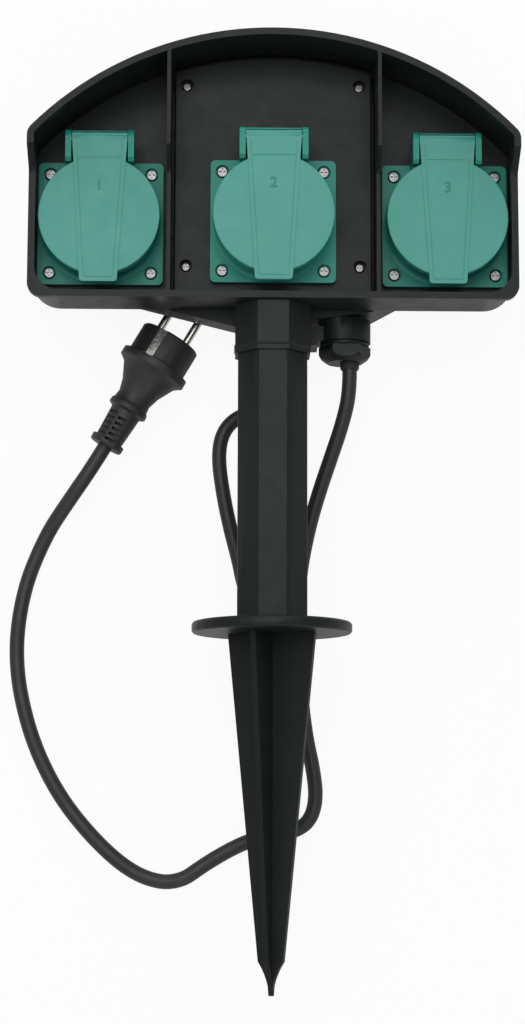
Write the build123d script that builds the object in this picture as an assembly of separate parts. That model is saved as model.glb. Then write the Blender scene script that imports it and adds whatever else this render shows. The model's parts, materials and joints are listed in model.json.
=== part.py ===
from build123d import *
import os
from math import atan2, cos, degrees, pi, radians, sin, sqrt, tan

# Garden socket spike, lying on its back: +X to the right, +Y from the spike's tip to the hood,
# +Z out of the sockets, the floor at Z = 0. Millimetres. Everything is drawn from the middle
# socket's axis, and moved along Y on export so that the origin is under the middle of the object.

# Sockets' places and flanges
PITCH = 102.0
FLANGE = 74.0

# Head outline
SIDE_MARGIN = 4.0
HEAD_WIDTH = 2 * (PITCH + FLANGE / 2 + SIDE_MARGIN)
ARC_RADIUS = 195.0
HOOD_TOP = 107.5
HEAD_BOTTOM = -49.5
CORNER = 8.0
BODY_CORNER = 18.0
WALL = 2.5
LIP_WALL = 4.0

# Levels above the floor
HOOD_Z = 96.0
RIM_Z = 79.0
LIP_Z = 74.0
PANEL_Z = 52.0
CENTRE_RAISE = 8.0
SKIRT_DROP = 2.5
STEP_TOP_Y = 37.0
STEP_RUN = 11.0
STEP_ROUND = 5.0

# Cutting and fitting
OVER = 1.0
CLEAR = 0.3
TOUCH = 0.1

# Dividers and the raised middle panel
DIVIDER_MARGIN = 3.8
DIVIDER_X = PITCH - FLANGE / 2 - DIVIDER_MARGIN
DIVIDER_THICK = 2.2
PANEL_GAP = 1.5
PANEL_HOLE_R = 25.0
CENTRE_SCREW_IN = 9.8
CENTRE_SCREW_X = DIVIDER_X - CENTRE_SCREW_IN
CENTRE_SCREW_TOP = 84.5
CENTRE_SCREW_LOW = -26.1
LEDGE = 16.0
CENTRE_LEDGE_LOW = 7.0
LEDGE_CORNER = 4.0
PANEL_CORNER = 1.5
PANEL_ROUND = 1.0
CUP_R = 3.9
CUP_WALL = 1.6
CUP_SEAT = 3.0

# Rear case
CASE_INSET = 4.5
CASE_BOTTOM = -36.5
CASE_CORNER = 6.5
CASE_BACK = 3.0
CASE_ROUND = 6.0
SEAL_THICK = 2.0
SHOULDER_TOP = 46.4
LEFT_SHOULDER_Z = 29.5
LEFT_SHOULDER = ((-114.0, CASE_BOTTOM), (-21.0, -59.8))
RIGHT_SHOULDER_Z = 12.0
RIGHT_SHOULDER = ((84.0, CASE_BOTTOM), (59.5, -50.0), (21.0, -55.0))
POST_TO_OUTSIDE = 17.0
POST_TO_LOW_OUTSIDE = 15.0
POST_TO_DIVIDER = 2.8
POST_TO_LOW_DIVIDER = 0.8
CASE_POSTS = (
    (PITCH + FLANGE / 2 - POST_TO_OUTSIDE, 38.0),
    (DIVIDER_X + POST_TO_DIVIDER, 76.0),
    (PITCH + FLANGE / 2 - POST_TO_LOW_OUTSIDE, -26.0),
    (DIVIDER_X + POST_TO_LOW_DIVIDER, -28.0),
)
POST_R = 4.0
POST_FOOT = 1.0
POST_FOOT_DOWN = 10.0
FLANGE_POST_R = 3.4
FLANGE_POST_DROP = 8.0
POST_MEET_Z = 25.0
CASE_SCREW_SEAT = 8.0
CASE_SCREW_LENGTH = 34.0
SCREW_HEAD_ROOM = 0.4

# Sockets
FLANGE_THICK = 3.5
FLANGE_CORNER = 3.0
HOLE_EDGE = 7.0
HOLE_SPACING = FLANGE - 2 * HOLE_EDGE
GASKET = 1.0
COLLAR_R = 31.5
COLLAR_WALL = 2.9
COLLAR_TOP = 14.0
FOOT_R = COLLAR_R + 5.0
FOOT_RISE = 6.0
FOOT_HOLLOW = 0.25
WELL_R = 19.75
WELL_DEPTH = 17.5
INSERT_R = 23.0
INSERT_TOP = 13.0
INSERT_BACK = -24.0
SHOULDER_R = 26.0
SHOULDER_THICK = 2.0
INSERT_FIT = 0.2
PIN_SPACING = 19.0
PIN_HOLE_R = 2.9
WELL_SKIN = 1.0

# Contacts: sleeves for the plug's pins and the earth clip in the well's sides
CONTACT_R = 3.6
CONTACT_BORE = 2.5
CONTACT_FLOOR = 2.0
CONTACT_LENGTH = 16.0
CONTACT_POST_HALF = (2.8, 2.4)
WIRE_SEAT = 3.5
EARTH_X = 19.0
EARTH_HALF = 3.0
EARTH_THICK = 1.0
EARTH_POST_HALF = (3.0, 2.6)
EARTH_TOP = 9.0
SLOT_FIT = 0.2

# Lid and hinge, from the socket's axis and the flange's front face
LID_LIP = 4.0
LID_R = COLLAR_R + LID_LIP
LID_TOP = COLLAR_TOP + 6.0
LID_THICK = 2.4
LID_SKIRT = 7.0
SKIRT_WALL = 2.2
TONGUE_RISE = 0.6
TONGUE_HALF_TOP = 16.2
TONGUE_HALF_LOW = 10.9
TONGUE_PAST = 2.1
TAB_REACH = 4.5
TAB_END = -LID_R - TAB_REACH
TAB_DEPTH = 5.0
HINGE_REACH = 11.3
HINGE_Y = LID_R + HINGE_REACH
HINGE_DROP = 4.2
BARREL_R = 5.0
EAR_GAP = 0.4
EAR_THICK = 3.5
EAR_R = 5.4
EAR_START = COLLAR_R + 0.9
EAR_CHAMFER = 2.0
WEB_ROOT = COLLAR_R - COLLAR_WALL - 4.3
WEB_SLOPE = 4.0
BAR_Y = (HINGE_Y - 3.0, HINGE_Y + 1.5)
BAR_TOP = 3.2
SEAT_GAP = 0.2
TAB_INSET = 0.6
LID_ROUND = 0.6
TAB_ROUND = 2.0
GROOVE = 0.6
GROOVE_DEEP = 0.35
GROOVE_EDGE = 2.2
BARREL_GROOVE = 1.1
BARREL_GROOVE_DEEP = 1.5
GROOVE_TOP_IN = 3.8
GROOVE_TOP_Y = HINGE_Y - GROOVE_TOP_IN
CROSS_GROOVE_IN = 12.8
CROSS_GROOVE_Y = HINGE_Y - CROSS_GROOVE_IN
HINGE_PIN_R = 1.5
PRESS_FIT = 0.02
RUN_FIT = 0.05
SPRING_HALF = 6.0
SPRING_R = 3.0
SPRING_WIRE = 0.9
SPRING_ROOM = 0.5
SPRING_SLOT = ((0.0, 0.0), (9.0, 2.8), (9.0, -9.0), (-2.4, -9.0))

# Screws: shank radius, head radius, head height, cross recess's half length
SOCKET_SCREW = (2.0, 3.4, 2.0, 2.2)
CENTRE_SCREW = (1.7, 2.7, 2.0, 1.7)
CASE_SCREW = (1.7, 3.2, 2.2, 2.0)
CLAMP_SCREW = (1.4, 2.5, 1.7, 1.5)
SCREW_LENGTH = 11.0
CLAMP_SCREW_LENGTH = 12.0
POST_SCREW_LENGTH = 10.0
HEAD_ROUND_SHARE = 0.45
CROSS_HALF = 0.45
CROSS_SHARE = 0.55
SCREW_FIT = 0.1
RECESS_R = 4.1
RECESS_DEEP = 2.3

# Post, collar and spike
POST_Z = 54.0
POST_FLATS = 40.5
POST_WALL = 2.5
POST_FIT = 0.15
SLEEVE_FLATS = 44.0
BAND_FLATS = 45.2
BAND_LENGTH = 4.5
BAND_CHAMFER = (1.7, 3.8)
SLEEVE_END = -79.0
SLEEVE_STOP = -52.3
COLLAR_TOP_Y = -236.3
DISC_R = 46.5
DISC_THICK = 6.5
DISC_CHAMFER = 1.2
TIP_Y = -448.0
TIP_R = 0.6
SPIKE_R = 27.4
SPIKE_LOW_R = 7.8
SPIKE_LOW_Y = -429.0
SPIKE_WAIST = (3.6, -436.5)
FIN_THICK = 3.2
FIN_TURN = 25.0
STUB_LENGTH = 27.0
POST_SCREW_Y = -66.0
POST_END_GAP = 0.2

# Lead, gland and inner wiring
GLAND_X = 43.8
GLAND_Z = 30.0
BOSS_R = 15.6
BOSS_END = -66.0
GLAND_R = 10.1
GLAND_BORE = 8.6
GLAND_REACH = 4.0
GLAND_FLANGE_R = 14.6
GLAND_FLANGE_THICK = 2.1
GLAND_THREAD = 8.0
GLAND_FLATS = 27.0
GLAND_WEB_X = 27.4
GLAND_WEB_Z = (20.0, 40.0)
GLAND_WEB_END = -69.0
NUT_END = -78.0
NUT_CHAMFER = ((0.0, 5.0), (1.6, 2.4), (5.0, 0.0))
CORD_R = 4.4
LEAD_ASIDE = 3.0
LEAD_X = GLAND_X + LEAD_ASIDE
SEAL_START = -60.0
BOOT_END = -82.0
BOOT_R = 5.7
BOOT_CHAMFER = (0.6, 1.0)
TAIL_END = -38.0
FLOOR_GAP = 0.2
WIRE_R = 1.3
WIRE_Z = 18.0
BLOCK_HALF = 5.5
BLOCK_HALF_Y = 15.0
BLOCK_Z = (12.0, 24.0)
BLOCK_SEAT_IN = (1.0, 3.0)
CORE_BEND = 3.5
WIRE_PAST = 6.0
CLAMP_Y = (-46.0, -41.0)
CLAMP_HALF = 12.0
CLAMP_ROOM = 2.0
CLAMP_TOP = 36.3
CLAMP_SCREW_IN = 3.0
CLAMP_SCREW_DEEP = 8.0

# Plug, along its own axis from the contact face
PLUG_FACE = (-60.5, -61.6)
PLUG_TAIL = (-99.5, -127.6)
PLUG_Z = 21.8
PLUG_FACE_R = 18.5
PLUG_GRIP_R = 21.5
PLUG_TURN = -14.0
PLUG_PIN_R = 2.4
PLUG_PIN_LENGTH = 19.0
PLUG_PIN_DEEP = 12.0
PLUG_PIN_ROUND = 1.4
PLUG_CLIP_HALF = 2.6
PLUG_CLIP_END = 18.4
PLUG_CLIP_DEEP = 2.4
PLUG_CLIP_THICK = 1.0
# Its outline behind the face, as (radius, distance from the face)
PLUG_FRONT = ((PLUG_FACE_R, 1.0), (PLUG_FACE_R, 17.5), (PLUG_GRIP_R, 18.5), (PLUG_GRIP_R, 23.0), (20.0, 24.0))
PLUG_WAIST = ((17.5, 26.0), (12.5, 36.0), (10.5, 43.0), (11.0, 47.0), (12.2, 49.0), (12.2, 51.5), (9.5, 53.0))
PLUG_RELIEF_R = 9.4
PLUG_RELIEF_LOW_R = 8.4
PLUG_SLOTS = 5
PLUG_SLOT_START = 56.0
PLUG_SLOT_PITCH = 3.6
PLUG_SLOT_WIDTH = 1.8
PLUG_SLOT_X = (0.7, 6.4)
PLUG_SLOT_FLOOR = 5.4
PLUG_END_R = 10.4

PLUG_REACH = sqrt((PLUG_FACE[0] - PLUG_TAIL[0]) ** 2 + (PLUG_FACE[1] - PLUG_TAIL[1]) ** 2)
PLUG_AXIS = ((PLUG_FACE[0] - PLUG_TAIL[0]) / PLUG_REACH, (PLUG_FACE[1] - PLUG_TAIL[1]) / PLUG_REACH)
PLUG_LEAD = 15.0
PLUG_END_RING = 4.0

# The lead's route from the gland to the plug, chosen by hand, in the drawing's own frame.
FLOOR_CORD = CORD_R + FLOOR_GAP
CORD_ROUTE = [
    (LEAD_X, BOOT_END, GLAND_Z),
    (LEAD_X, -96.0, GLAND_Z),
    (42.6, -114.0, 26.0),
    (35.8, -134.0, 20.5),
    (29.0, -154.0, 16.5),
    (23.5, -173.0, 15.0),
    (19.0, -194.0, 14.8),
    (16.8, -211.8, 14.8),
    (10.6, -220.4, 14.8),
    (0.5, -223.6, 14.8),
    (-9.6, -220.4, 14.6),
    (-15.8, -211.8, 13.0),
    (-19.0, -195.0, 9.0),
    (-24.0, -176.0, FLOOR_CORD + 0.6),
    (-28.5, -155.0, FLOOR_CORD),
    (-31.8, -132.0, FLOOR_CORD),
    (-29.8, -117.0, FLOOR_CORD),
    (-22.5, -107.5, FLOOR_CORD),
    (-10.5, -102.5, FLOOR_CORD),
    (3.5, -104.0, FLOOR_CORD),
    (12.0, -113.0, FLOOR_CORD),
    (13.8, -130.0, FLOOR_CORD),
    (12.6, -148.0, FLOOR_CORD),
    (9.5, -170.0, FLOOR_CORD),
    (10.5, -195.0, FLOOR_CORD),
    (15.5, -220.0, FLOOR_CORD),
    (16.2, -247.0, FLOOR_CORD),
    (18.5, -275.0, FLOOR_CORD),
    (21.5, -300.0, FLOOR_CORD),
    (25.8, -319.0, FLOOR_CORD),
    (27.8, -337.0, FLOOR_CORD),
    (23.5, -350.5, FLOOR_CORD),
    (12.5, -356.5, FLOOR_CORD),
    (-2.0, -358.5, FLOOR_CORD),
    (-15.5, -362.5, FLOOR_CORD),
    (-29.0, -369.5, FLOOR_CORD),
    (-41.0, -377.0, FLOOR_CORD),
    (-51.5, -384.5, FLOOR_CORD),
    (-65.5, -386.0, FLOOR_CORD),
    (-84.0, -378.5, FLOOR_CORD),
    (-106.0, -359.0, FLOOR_CORD),
    (-127.5, -332.0, FLOOR_CORD),
    (-144.0, -297.0, FLOOR_CORD),
    (-153.0, -255.0, FLOOR_CORD),
    (-149.0, -214.0, FLOOR_CORD),
    (-135.5, -180.0, 7.0),
    (-121.0, -160.0, 17.0),
    (PLUG_TAIL[0] - PLUG_LEAD * PLUG_AXIS[0], PLUG_TAIL[1] - PLUG_LEAD * PLUG_AXIS[1], PLUG_Z),
    (PLUG_TAIL[0], PLUG_TAIL[1], PLUG_Z),
]
CORD_SHORTER_RUN_SHARE = 0.45

# Worked out from the above
HALF = HEAD_WIDTH / 2
ARC_Y = HOOD_TOP - ARC_RADIUS
FLOOR_Z = PANEL_Z - WALL
CENTRE_Z = PANEL_Z + CENTRE_RAISE
SKIRT_Z = FLOOR_Z - SKIRT_DROP
CASE_TOP = FLOOR_Z - SEAL_THICK
DISC_LOW_Y = COLLAR_TOP_Y - DISC_THICK
HINGE_Z = LID_TOP - HINGE_DROP
MIDDLE_Y = -(HOOD_TOP + TIP_Y) / 2
NODES = {}


def flat(points):
    return make_face(Polyline(*points, close=True))


def prism_z(face, low, high):
    return Pos(0, 0, low) * extrude(face, amount=high - low)


def prism_x(points, low, high):
    """Points are (y, z)."""
    return Pos(low, 0, 0) * extrude(Plane.YZ * flat(points), amount=high - low)


def prism_y(face, low, high):
    """The face is drawn in (x, z)."""
    return Pos(0, high, 0) * extrude(Plane.XZ * face, amount=high - low)


def block(x, y, z):
    """A box from pairs of low and high values."""
    size = (x[1] - x[0], y[1] - y[0], z[1] - z[0])
    middle = Pos((x[0] + x[1]) / 2, (y[0] + y[1]) / 2, (z[0] + z[1]) / 2)
    return middle * Box(*size)


def rod_z(radius, low, high, x=0.0, y=0.0):
    return Pos(x, y, (low + high) / 2) * Cylinder(radius, high - low)


def rod_x(radius, low, high, y, z):
    return Pos((low + high) / 2, y, z) * Rot(0, 90, 0) * Cylinder(radius, high - low)


def rod_y(radius, low, high, x, z):
    return Pos(x, (low + high) / 2, z) * Rot(90, 0, 0) * Cylinder(radius, high - low)


def ring_z(outer, inner, low, high):
    return rod_z(outer, low, high) - rod_z(inner, low - OVER, high + OVER)


def turned_y(points):
    """Points are (radius, y) round the Y axis."""
    return revolve(flat(points), Axis.Y)


def polygon_flats(flats, sides):
    """A regular polygon with a flat facing up."""
    corner_r = flats / 2 / cos(pi / sides)
    turns = [(i + 0.5) * 2 * pi / sides for i in range(sides)]
    return flat([(corner_r * sin(t), corner_r * cos(t)) for t in turns])


def arch_y(inset, x):
    """Height of the hood's arch at x, for a wall set in by inset."""
    return ARC_Y + sqrt((ARC_RADIUS - inset) ** 2 - x**2)


def arched(inset, half, bottom, low_corner, top_corner):
    """A face with the head's arched top, straight sides and a straight bottom."""
    side_top = arch_y(inset, half)
    arc = ThreePointArc((-half, side_top), (0, arch_y(inset, 0)), (half, side_top))
    sides = Polyline((half, side_top), (half, bottom), (-half, bottom), (-half, side_top))
    face = make_face(arc + sides)
    corners = face.vertices()
    face = fillet(corners.filter_by(lambda v: v.Y < 0), low_corner)
    if top_corner:
        tops = face.vertices().filter_by(lambda v: abs(v.Y - side_top) < 0.01)
        face = fillet(tops, top_corner)
    return face


def head_face(inset, corner):
    low_corner = max(corner - inset, 1.0)
    top_corner = max(CORNER - inset, 1.0)
    return arched(inset, HALF - inset, HEAD_BOTTOM + inset, low_corner, top_corner)


def case_face(inset):
    total = CASE_INSET + inset
    return arched(total, HALF - total, CASE_BOTTOM + inset, CASE_CORNER - inset, CASE_CORNER - inset)


def front_cut():
    """What is taken off in front of the low rim, with the soft step beside the sockets."""
    far = HEAD_BOTTOM - OVER
    high = HOOD_Z + OVER
    rim = [(far, RIM_Z), (STEP_TOP_Y - STEP_RUN, RIM_Z), (STEP_TOP_Y, HOOD_Z)]
    face = flat([*rim, (STEP_TOP_Y, high), (far, high)])
    steps = [v for v in face.vertices() if abs(v.X - (STEP_TOP_Y - STEP_RUN)) < 0.01]
    face = fillet(steps, STEP_ROUND)
    return Pos(-HALF - OVER, 0, 0) * extrude(Plane.YZ * face, amount=HEAD_WIDTH + 2 * OVER)


def screw(sizes, length):
    """A pan-head screw along -Z with its seat at Z = 0 and a cross recess in its head."""
    shank_r, head_r, head_h, cross = sizes
    head = rod_z(head_r, 0, head_h)
    head = fillet(head.edges().sort_by(Axis.Z)[-1], head_h * HEAD_ROUND_SHARE)
    low = head_h * (1 - CROSS_SHARE)
    for half_x, half_y in ((cross, CROSS_HALF), (CROSS_HALF, cross)):
        head -= block((-half_x, half_x), (-half_y, half_y), (low, head_h + OVER))
    return rod_z(shank_r, -length, 0) + head


def socket_places():
    return {"left": (-PITCH, PANEL_Z), "middle": (0.0, CENTRE_Z), "right": (PITCH, PANEL_Z)}


def flange_corners():
    half = HOLE_SPACING / 2
    return [(sx * half, sy * half) for sx in (-1, 1) for sy in (-1, 1)]


def case_posts():
    return [(sx * x, y) for x, y in CASE_POSTS for sx in (-1, 1)]


def centre_screws():
    return [(sx * CENTRE_SCREW_X, y) for y in (CENTRE_SCREW_TOP, CENTRE_SCREW_LOW) for sx in (-1, 1)]


def save(name, *shapes):
    solids = [s for shape in shapes for s in shape.solids()]
    moved = [Pos(0, MIDDLE_Y, 0) * s for s in solids]
    whole = moved[0] if len(moved) == 1 else Compound(moved)
    NODES[name] = whole
    export_step(whole, f"parts/{name}.step")


# Front frame

def front_frame():
    outer_lip = prism_z(head_face(0, CORNER), LIP_Z, HOOD_Z)
    outer_body = prism_z(head_face(0, BODY_CORNER), SKIRT_Z, LIP_Z)
    inside = prism_z(head_face(WALL, BODY_CORNER), SKIRT_Z - OVER, LIP_Z)
    inside += prism_z(head_face(LIP_WALL, BODY_CORNER), LIP_Z - OVER, HOOD_Z + OVER)
    frame = outer_lip + outer_body - inside
    floor = prism_z(head_face(WALL / 2, BODY_CORNER), FLOOR_Z, PANEL_Z)
    frame += floor
    for side in (-1, 1):
        wall = (side * DIVIDER_X - DIVIDER_THICK / 2, side * DIVIDER_X + DIVIDER_THICK / 2)
        top = arch_y(WALL / 2, DIVIDER_X + DIVIDER_THICK)
        frame += block(wall, (HEAD_BOTTOM + WALL / 2, top), (FLOOR_Z, HOOD_Z))
    frame -= front_cut()
    frame -= prism_z(ledge_hole(), FLOOR_Z - OVER, PANEL_Z + OVER)
    short = FLOOR_Z - FLANGE_POST_DROP
    through = PANEL_Z + OVER
    posts = [(x, y, POST_MEET_Z + TOUCH, FLOOR_Z, POST_R, CASE_SCREW[0]) for x, y in case_posts()]
    posts += [(x, y, short, through, POST_R, CENTRE_SCREW[0]) for x, y in centre_screws()]
    for side in (-1, 1):
        places = [(side * PITCH + x, y) for x, y in flange_corners()]
        posts += [(x, y, short, through, FLANGE_POST_R, SOCKET_SCREW[0]) for x, y in places]
    for x, y, low, hole_top, post_r, shank_r in posts:
        frame += rod_z(post_r, low, FLOOR_Z + WALL / 2, x, y)
    for x, y, low, hole_top, post_r, shank_r in posts:
        frame -= rod_z(shank_r + SCREW_FIT, low - OVER, hole_top, x, y)
    for side in (-1, 1):
        frame -= rod_z(PANEL_HOLE_R, FLOOR_Z - OVER, PANEL_Z + OVER, side * PITCH)
    return frame


def ledge_hole():
    """The opening behind the middle panel, with a ledge all round that the panel stands on."""
    half = DIVIDER_X - DIVIDER_THICK / 2 - LEDGE
    top = arch_y(WALL + LEDGE, half)
    low = HEAD_BOTTOM + WALL + CENTRE_LEDGE_LOW
    face = flat([(-half, low), (half, low), (half, top), (-half, top)])
    return fillet(face.vertices(), LEDGE_CORNER)


def centre_panel():
    half = DIVIDER_X - DIVIDER_THICK / 2 - PANEL_GAP
    inset = LIP_WALL + PANEL_GAP
    bottom = HEAD_BOTTOM + inset
    outer = arched(inset, half, bottom, PANEL_CORNER, PANEL_CORNER)
    inner = arched(inset + WALL, half - WALL, bottom + WALL, PANEL_ROUND, PANEL_ROUND)
    panel = prism_z(outer, PANEL_Z, CENTRE_Z) - prism_z(inner, PANEL_Z - OVER, CENTRE_Z - WALL)
    front_edges = panel.faces().sort_by(Axis.Z)[-1].outer_wire().edges()
    panel = fillet(front_edges, PANEL_ROUND)
    for x, y in centre_screws():
        panel += rod_z(CUP_R + CUP_WALL, PANEL_Z, CENTRE_Z - WALL / 2, x, y)
        panel -= rod_z(CUP_R, PANEL_Z + CUP_SEAT, CENTRE_Z + OVER, x, y)
        panel -= rod_z(CENTRE_SCREW[0] + SCREW_FIT, PANEL_Z - OVER, CENTRE_Z, x, y)
    post_low = CENTRE_Z - WALL - FLANGE_POST_DROP
    for x, y in flange_corners():
        panel += rod_z(FLANGE_POST_R, post_low, CENTRE_Z - WALL / 2, x, y)
        panel -= rod_z(SOCKET_SCREW[0] + SCREW_FIT, post_low - OVER, CENTRE_Z + OVER, x, y)
    panel -= rod_z(PANEL_HOLE_R, CENTRE_Z - WALL - OVER, CENTRE_Z + OVER)
    return panel


# Rear case with the post's sleeve and the gland's boss

def shoulder(points, low, wall):
    """A hollow shoulder that runs down from the case to the sleeve, as (outside, hollow)."""
    inner_y = CASE_BOTTOM + WALL
    outline = list(points) + [(0.0, points[-1][1]), (0.0, inner_y), (points[0][0], inner_y)]
    face = flat(outline)
    hollow = offset(face, -wall, kind=Kind.INTERSECTION)
    return prism_z(face, low, SHOULDER_TOP), prism_z(hollow, low + wall, SHOULDER_TOP - wall)


def sleeve_body():
    body = prism_y(polygon_flats(SLEEVE_FLATS, 8), SLEEVE_END, CASE_BOTTOM)
    band = prism_y(polygon_flats(BAND_FLATS, 8), SLEEVE_END, SLEEVE_END + BAND_LENGTH)
    end = band.faces().sort_by(Axis.Y)[0]
    body += chamfer(end.edges(), *BAND_CHAMFER, reference=end)
    return Pos(0, 0, POST_Z) * body


def gland_web():
    """The web that ties the gland's boss to the sleeve, down past the boss."""
    inside = (SLEEVE_FLATS + POST_FLATS) / 4
    beside = block((inside, GLAND_X - BOSS_R + WALL), (BOSS_END, LEFT_SHOULDER[-1][1] + WALL), GLAND_WEB_Z)
    return beside + block((inside, GLAND_WEB_X), (GLAND_WEB_END, BOSS_END + OVER), GLAND_WEB_Z)


def clamp_y():
    return sum(CLAMP_Y) / 2


def rear_case():
    case = prism_z(case_face(0), 0, CASE_TOP)
    back_edges = case.faces().sort_by(Axis.Z)[0].outer_wire().edges()
    case = fillet(back_edges, CASE_ROUND)
    case -= prism_z(case_face(WALL), CASE_BACK, CASE_TOP + OVER)
    left_out, left_in = shoulder(LEFT_SHOULDER, LEFT_SHOULDER_Z, WALL)
    right_out, right_in = shoulder(RIGHT_SHOULDER, RIGHT_SHOULDER_Z, WALL)
    boss = rod_y(BOSS_R, BOSS_END, RIGHT_SHOULDER[-1][1] + WALL, GLAND_X, GLAND_Z)
    case += left_out + right_out + sleeve_body() + boss + gland_web()
    case -= left_in
    case -= right_in
    case -= way_in()
    case -= room_for_the_front()
    case -= sleeve_bore()
    case -= rod_y(GLAND_R + SCREW_FIT, BOSS_END - OVER, CLAMP_Y[0] - OVER, GLAND_X, GLAND_Z)
    case += clamp_rib()
    for x in clamp_screw_x():
        case -= rod_z(CLAMP_SCREW[0] + SCREW_FIT, GLAND_Z - CLAMP_SCREW_DEEP, GLAND_Z, x, clamp_y())
    case += block_seat()
    for x, y in case_posts():
        case += rod_z(POST_R + POST_FOOT, CASE_BACK / 2, POST_MEET_Z - POST_FOOT_DOWN, x, y)
        case += rod_z(POST_R, CASE_BACK / 2, POST_MEET_Z, x, y)
        case -= rod_z(CASE_SCREW[1] + SCREW_HEAD_ROOM, -OVER, CASE_SCREW_SEAT, x, y)
        case -= rod_z(CASE_SCREW[0] + SCREW_FIT, 0, POST_MEET_Z + OVER, x, y)
    return case


def way_in():
    """The window that the lead's cores pass from the shoulder into the case."""
    half = CLAMP_HALF + CLAMP_ROOM
    y = (CASE_BOTTOM - OVER, CASE_BOTTOM + WALL + OVER)
    return block((LEAD_X - half, LEAD_X + half), y, (RIGHT_SHOULDER_Z + WALL, SHOULDER_TOP - WALL))


def room_for_the_front():
    """The space that the front frame takes over the case and over the shoulders."""
    low_y = HEAD_BOTTOM - CLEAR
    over_case = block((-HALF, HALF), (low_y, HOOD_TOP), (CASE_TOP, HOOD_Z))
    return over_case + block((-HALF, HALF), (low_y, CASE_BOTTOM), (SHOULDER_TOP, HOOD_Z))


def sleeve_bore():
    """The post's bore, with the hole of the screw that holds it."""
    bore = prism_y(polygon_flats(POST_FLATS + 2 * POST_FIT, 8), SLEEVE_END - OVER, SLEEVE_STOP)
    low = POST_Z - SLEEVE_FLATS / 2 - OVER
    hole = rod_z(SOCKET_SCREW[0] + SCREW_FIT, low, POST_Z - POST_FLATS / 2, 0, POST_SCREW_Y)
    return Pos(0, 0, POST_Z) * bore + hole


def clamp_rib():
    """The rib under the lead that the clamp's bar is screwed down to."""
    x = (LEAD_X - CLAMP_HALF, LEAD_X + CLAMP_HALF)
    rib = block(x, CLAMP_Y, (RIGHT_SHOULDER_Z + WALL / 2, GLAND_Z - CLEAR))
    return rib - rod_y(CORD_R + SCREW_FIT, CLAMP_Y[0] - OVER, CLAMP_Y[1] + OVER, LEAD_X, GLAND_Z)


def block_seat():
    """The pad that the terminal block stands on."""
    half_x = BLOCK_HALF - BLOCK_SEAT_IN[0]
    half_y = BLOCK_HALF_Y - BLOCK_SEAT_IN[1]
    return block((LEAD_X - half_x, LEAD_X + half_x), (-half_y, half_y), (CASE_BACK / 2, BLOCK_Z[0]))


def clamp_screw_x():
    reach = CLAMP_HALF - CLAMP_SCREW_IN
    return (LEAD_X - reach, LEAD_X + reach)


def case_seal():
    hollow = prism_z(case_face(WALL), CASE_TOP - OVER, FLOOR_Z + OVER)
    return prism_z(case_face(0), CASE_TOP, FLOOR_Z) - hollow


# Sockets, each drawn from its axis and its flange's front face

def flange_face():
    return fillet(Rectangle(FLANGE, FLANGE).vertices(), FLANGE_CORNER)


def ears():
    """Two ears that carry the hinge pin, each on a web from the collar, with a bar between them."""
    low = TONGUE_HALF_TOP + EAR_GAP
    web_top = LID_TOP - LID_SKIRT - EAR_GAP - SEAT_GAP
    far = HINGE_Y + EAR_R
    high = HINGE_Z + EAR_R
    web = [(WEB_ROOT, SEAT_GAP), (HINGE_Y - OVER, SEAT_GAP), (far, HINGE_Z - WEB_SLOPE), (far, HINGE_Z)]
    web += [(EAR_START, HINGE_Z), (EAR_START, web_top), (WEB_ROOT, web_top)]
    top = [(EAR_START, HINGE_Z - OVER), (HINGE_Y, HINGE_Z - OVER), (HINGE_Y, high)]
    top += [(EAR_START + EAR_CHAMFER, high), (EAR_START, high - EAR_CHAMFER)]
    pair = block((-low - OVER, low + OVER), BAR_Y, (SEAT_GAP, BAR_TOP))
    for side in (-1, 1):
        span = sorted((side * low, side * (low + EAR_THICK)))
        pair += prism_x(web, *span)
        pair += prism_x(top, *span)
        pair += rod_x(EAR_R, *span, HINGE_Y, HINGE_Z)
    return pair


def collar_foot():
    """The flare where the socket's collar meets its flange."""
    inner = COLLAR_R - COLLAR_WALL / 2
    middle = (COLLAR_R + (FOOT_R - COLLAR_R) * FOOT_HOLLOW, FOOT_RISE * (FOOT_HOLLOW + TOUCH))
    line = Line((inner, 0), (FOOT_R, 0))
    arc = ThreePointArc((FOOT_R, 0), middle, (COLLAR_R, FOOT_RISE))
    side = Polyline((COLLAR_R, FOOT_RISE), (inner, FOOT_RISE), (inner, 0))
    return revolve(Plane.XZ * make_face(line + arc + side), Axis.Z)


def socket_base():
    inner = COLLAR_R - COLLAR_WALL
    base = prism_z(flange_face(), -FLANGE_THICK, 0)
    base += ring_z(COLLAR_R, inner, -FLANGE_THICK / 2, COLLAR_TOP)
    base += collar_foot()
    base += ears()
    base -= rod_z(INSERT_R + INSERT_FIT, -FLANGE_THICK - OVER, OVER)
    base -= rod_z(inner, 0, COLLAR_TOP + OVER)
    for x, y in flange_corners():
        base -= rod_z(RECESS_R, -RECESS_DEEP, FOOT_RISE, x, y)
        base -= rod_z(SOCKET_SCREW[0] + SCREW_FIT, -FLANGE_THICK - OVER, 0, x, y)
    base -= rod_x(HINGE_PIN_R + PRESS_FIT, -FLANGE / 2, FLANGE / 2, HINGE_Y, HINGE_Z)
    return base


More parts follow.
